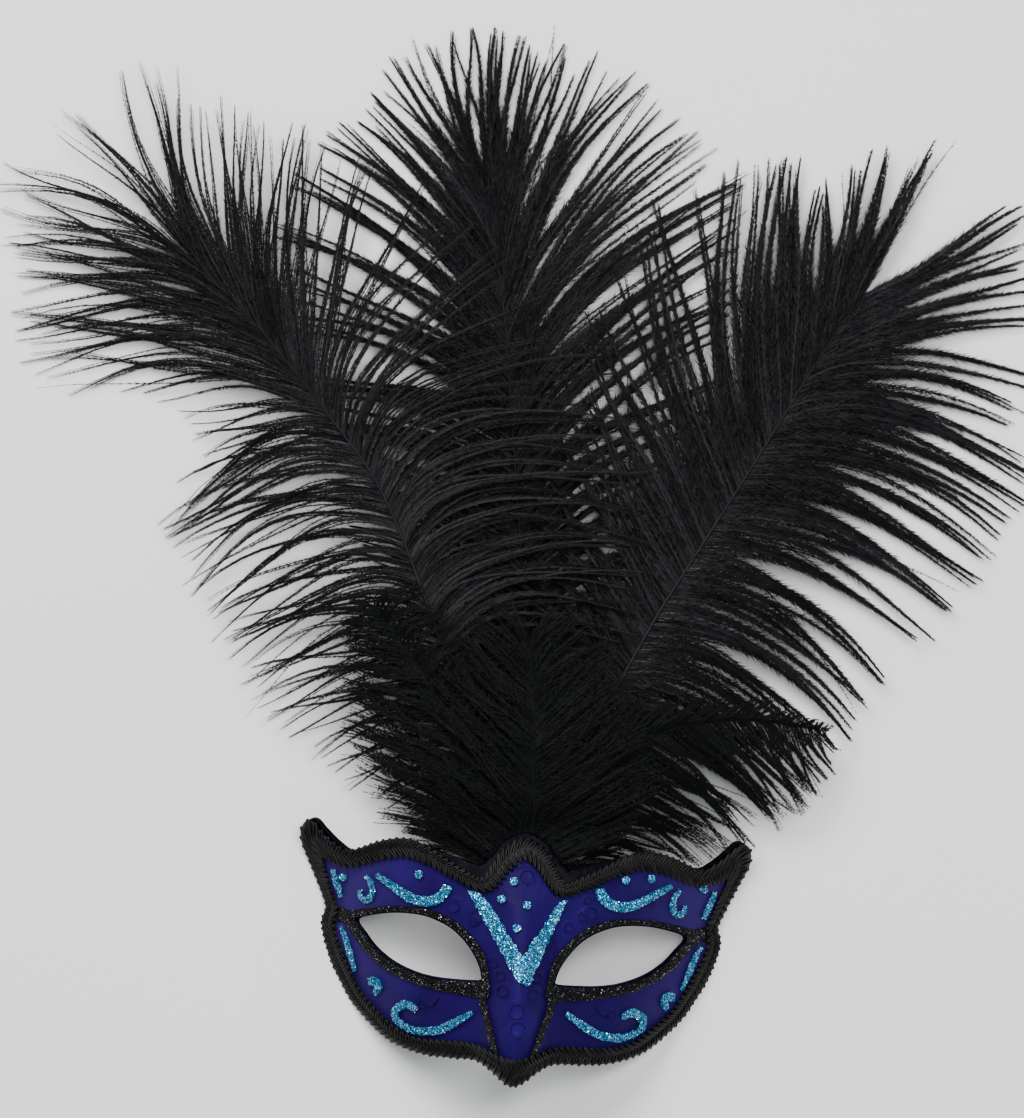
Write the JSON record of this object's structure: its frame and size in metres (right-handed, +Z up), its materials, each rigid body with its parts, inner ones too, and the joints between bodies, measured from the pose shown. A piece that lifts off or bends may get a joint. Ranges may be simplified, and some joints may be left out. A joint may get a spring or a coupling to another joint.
{
  "type": "masquerade mask",
  "caption": "Half-face masquerade mask with horned upper corners, braided edge, raised glitter lines and tall soft plumes at the forehead, lying face up.",
  "frame": {"origin": "on the table under the middle of the whole piece, which lies face up", "axes": "+X to the right across the mask, +Y up its forehead to the plumes, +Z up out of its face"},
  "size_m": [0.3938, 0.399, 0.0583],
  "materials": {
    "royal_blue_paint": "satin royal blue paint on moulded plastic",
    "black_braid": "black gimp braid",
    "turquoise_glitter": "raised glue line full of turquoise glitter",
    "black_glitter": "raised glue line full of fine black glitter",
    "black_plume": "soft black ostrich barbs",
    "black_down": "soft black down",
    "black_felt": "plain black felt"
  },
  "bodies": {
    "root": {"mask_shell": "royal_blue_paint", "edge_braid": "black_braid", "eye_border_left": "black_glitter", "eye_border_right": "black_glitter", "nose_line_left": "black_glitter", "nose_line_right": "black_glitter", "glitter_v": "turquoise_glitter", "glitter_brow_left": "turquoise_glitter", "glitter_brow_right": "turquoise_glitter", "glitter_curl_left": "turquoise_glitter", "glitter_curl_right": "turquoise_glitter", "glitter_cheek_left": "turquoise_glitter", "glitter_cheek_right": "turquoise_glitter", "glitter_comma_left": "turquoise_glitter", "glitter_comma_right": "turquoise_glitter", "glitter_side_left": "turquoise_glitter", "glitter_side_right": "turquoise_glitter", "glitter_temple_left": "turquoise_glitter", "glitter_temple_right": "turquoise_glitter", "glitter_dot_1": "turquoise_glitter", "glitter_dot_2": "turquoise_glitter", "glitter_dot_3": "turquoise_glitter", "glitter_dot_4": "turquoise_glitter", "glitter_dot_5": "turquoise_glitter", "glitter_dot_6": "turquoise_glitter", "glitter_dot_7": "turquoise_glitter", "plume_left": "black_plume", "plume_center": "black_plume", "plume_right": "black_plume", "tuft_left": "black_down", "tuft_center": "black_down", "tuft_right": "black_down", "feather_patch": "black_felt"}
  },
  "joints": []
}
